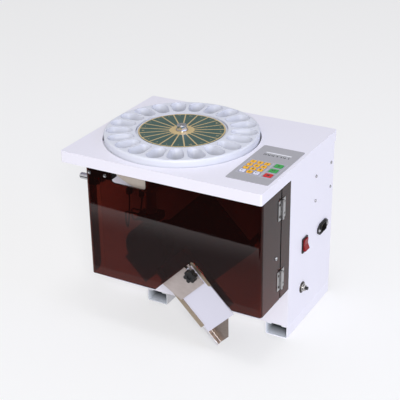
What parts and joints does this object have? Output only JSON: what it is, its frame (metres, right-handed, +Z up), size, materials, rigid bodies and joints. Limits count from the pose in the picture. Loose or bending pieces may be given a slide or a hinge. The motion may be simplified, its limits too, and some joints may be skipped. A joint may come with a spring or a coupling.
{
  "type": "tablet dose counting machine",
  "caption": "Bench machine with a turning disc of scooped dose pockets, numbered dial, keypad, tinted swing door and stainless chute that drops each counted dose",
  "frame": {"origin": "on the floor under the middle of the machine's overall plan", "axes": "+X to the user's right, +Y to the back, +Z up"},
  "size_m": [0.443, 0.342, 0.395],
  "materials": {
    "white_paint": "satin powder coat",
    "channel_paint": "satin",
    "white_plastic": "satin moulded",
    "dial_green": "printed",
    "plated_steel": "plated",
    "satin_steel": "satin",
    "chrome": "polished",
    "stainless": "brushed",
    "tinted_acrylic": "clear tinted",
    "cover_white": "matte",
    "black_plastic": "satin",
    "black_paint": "satin",
    "motor_grey": "satin",
    "cast_aluminium": "plain",
    "lead_rubber": "matte",
    "panel_grey": "matte overlay",
    "display_glass": "gloss",
    "board_green": "satin",
    "brass": "plain",
    "bush_nickel": "plated",
    "rocker_red": "gloss",
    "key_orange": "satin",
    "key_white": "satin",
    "key_green": "satin",
    "key_red": "satin"
  },
  "bodies": {
    "cabinet": {"deck": "white_paint", "body_shell": "white_paint", "front_wall": "white_paint", "rear_cover": "white_paint", "foot_left": "channel_paint", "foot_right": "channel_paint", "foot_bolts": "plated_steel", "side_screws": "plated_steel", "keypad_panel": "panel_grey", "display_module": "display_glass", "keypad_board": "board_green", "power_inlet": "black_plastic", "inlet_pins": "brass", "switch_bezel": "black_plastic", "breaker_bush": "bush_nickel", "power_supply": "cast_aluminium", "bearing_bracket": "cast_aluminium", "turntable_motor": "motor_grey", "acrylic_strip": "tinted_acrylic", "hinge_leaves_fixed": "satin_steel", "hinge_pins": "plated_steel", "latch_keeper": "satin_steel", "feed_base": "black_paint", "feed_motor": "motor_grey", "drop_funnel": "stainless", "count_sensor": "black_plastic", "sensor_leads": "lead_rubber", "chute_tray": "stainless", "chute_front_plate": "stainless", "chute_cover": "cover_white"},
    "turntable": {"pocket_ring": "white_plastic", "dial_plate": "dial_green", "hub_washer": "plated_steel", "hub_nut": "plated_steel", "turntable_shaft": "plated_steel"},
    "door": {"door": "tinted_acrylic", "latch_bar": "black_plastic", "hinge_leaves_door": "satin_steel"},
    "latch_pin": {"latch_pin": "chrome"},
    "chute_extension": {"chute_extension": "stainless"},
    "clamp_knob": {"clamp_knob": "black_plastic"},
    "power_rocker": {"power_rocker": "rocker_red"},
    "breaker_button": {"breaker_button": "black_plastic"},
    "feed_drum": {"feed_drum": "black_plastic"},
    "key_1": {"key_1": "key_orange"},
    "key_2": {"key_2": "key_orange"},
    "key_3": {"key_3": "key_orange"},
    "key_4": {"key_4": "key_orange"},
    "key_5": {"key_5": "key_orange"},
    "key_6": {"key_6": "key_orange"},
    "key_7": {"key_7": "key_orange"},
    "key_8": {"key_8": "key_orange"},
    "key_9": {"key_9": "key_orange"},
    "key_clear": {"key_clear": "key_white"},
    "key_0": {"key_0": "key_orange"},
    "key_enter": {"key_enter": "key_white"},
    "key_start": {"key_start": "key_green"},
    "key_pause": {"key_pause": "key_green"},
    "key_stop": {"key_stop": "key_red"}
  },
  "joints": [
    {"name": "turntable_spin", "type": "hinge", "parent": "cabinet", "child": "turntable", "pos_m": [-0.05, 0.0005, 0.3705], "axis": [0, 0, 1], "continuous": true},
    {"name": "feed_drum_spin", "type": "hinge", "parent": "cabinet", "child": "feed_drum", "pos_m": [-0.0495, -0.132, 0.1905], "axis": [0, 1, 0], "continuous": true},
    {"name": "door_swing", "type": "hinge", "parent": "cabinet", "child": "door", "pos_m": [0.2114, -0.087, 0.2315], "axis": [0, 0, 1], "range_deg": [0, 110]},
    {"name": "latch_slide", "type": "slide", "parent": "door", "child": "latch_pin", "axis": [1, 0, 0], "range_m": [0, 0.006]},
    {"name": "chute_extension_slide", "type": "slide", "parent": "cabinet", "child": "chute_extension", "axis": [0.7071, 0, -0.7071], "range_m": [-0.04, 0]},
    {"name": "clamp_knob_turn", "type": "hinge", "parent": "cabinet", "child": "clamp_knob", "pos_m": [0.0582, -0.164, 0.1642], "axis": [0, 1, 0], "range_deg": [0, 360]},
    {"name": "power_rocker_tip", "type": "hinge", "parent": "cabinet", "child": "power_rocker", "pos_m": [0.2091, 0.024, 0.1805], "axis": [0, 1, 0], "range_deg": [0, 16]},
    {"name": "breaker_button_press", "type": "slide", "parent": "cabinet", "child": "breaker_button", "axis": [-1, 0, 0], "range_m": [0, 0.0025], "stiffness_N_per_m": 600},
    {"name": "key_1_press", "type": "slide", "parent": "cabinet", "child": "key_1", "axis": [0, 0, -1], "range_m": [0, 0.0006], "stiffness_N_per_m": 800},
    {"name": "key_2_press", "type": "slide", "parent": "cabinet", "child": "key_2", "axis": [0, 0, -1], "range_m": [0, 0.0006], "stiffness_N_per_m": 800},
    {"name": "key_3_press", "type": "slide", "parent": "cabinet", "child": "key_3", "axis": [0, 0, -1], "range_m": [0, 0.0006], "stiffness_N_per_m": 800},
    {"name": "key_4_press", "type": "slide", "parent": "cabinet", "child": "key_4", "axis": [0, 0, -1], "range_m": [0, 0.0006], "stiffness_N_per_m": 800},
    {"name": "key_5_press", "type": "slide", "parent": "cabinet", "child": "key_5", "axis": [0, 0, -1], "range_m": [0, 0.0006], "stiffness_N_per_m": 800},
    {"name": "key_6_press", "type": "slide", "parent": "cabinet", "child": "key_6", "axis": [0, 0, -1], "range_m": [0, 0.0006], "stiffness_N_per_m": 800},
    {"name": "key_7_press", "type": "slide", "parent": "cabinet", "child": "key_7", "axis": [0, 0, -1], "range_m": [0, 0.0006], "stiffness_N_per_m": 800},
    {"name": "key_8_press", "type": "slide", "parent": "cabinet", "child": "key_8", "axis": [0, 0, -1], "range_m": [0, 0.0006], "stiffness_N_per_m": 800},
    {"name": "key_9_press", "type": "slide", "parent": "cabinet", "child": "key_9", "axis": [0, 0, -1], "range_m": [0, 0.0006], "stiffness_N_per_m": 800},
    {"name": "key_clear_press", "type": "slide", "parent": "cabinet", "child": "key_clear", "axis": [0, 0, -1], "range_m": [0, 0.0006], "stiffness_N_per_m": 800},
    {"name": "key_0_press", "type": "slide", "parent": "cabinet", "child": "key_0", "axis": [0, 0, -1], "range_m": [0, 0.0006], "stiffness_N_per_m": 800},
    {"name": "key_enter_press", "type": "slide", "parent": "cabinet", "child": "key_enter", "axis": [0, 0, -1], "range_m": [0, 0.0006], "stiffness_N_per_m": 800},
    {"name": "key_start_press", "type": "slide", "parent": "cabinet", "child": "key_start", "axis": [0, 0, -1], "range_m": [0, 0.0006], "stiffness_N_per_m": 800},
    {"name": "key_pause_press", "type": "slide", "parent": "cabinet", "child": "key_pause", "axis": [0, 0, -1], "range_m": [0, 0.0006], "stiffness_N_per_m": 800},
    {"name": "key_stop_press", "type": "slide", "parent": "cabinet", "child": "key_stop", "axis": [0, 0, -1], "range_m": [0, 0.0006], "stiffness_N_per_m": 800}
  ]
}
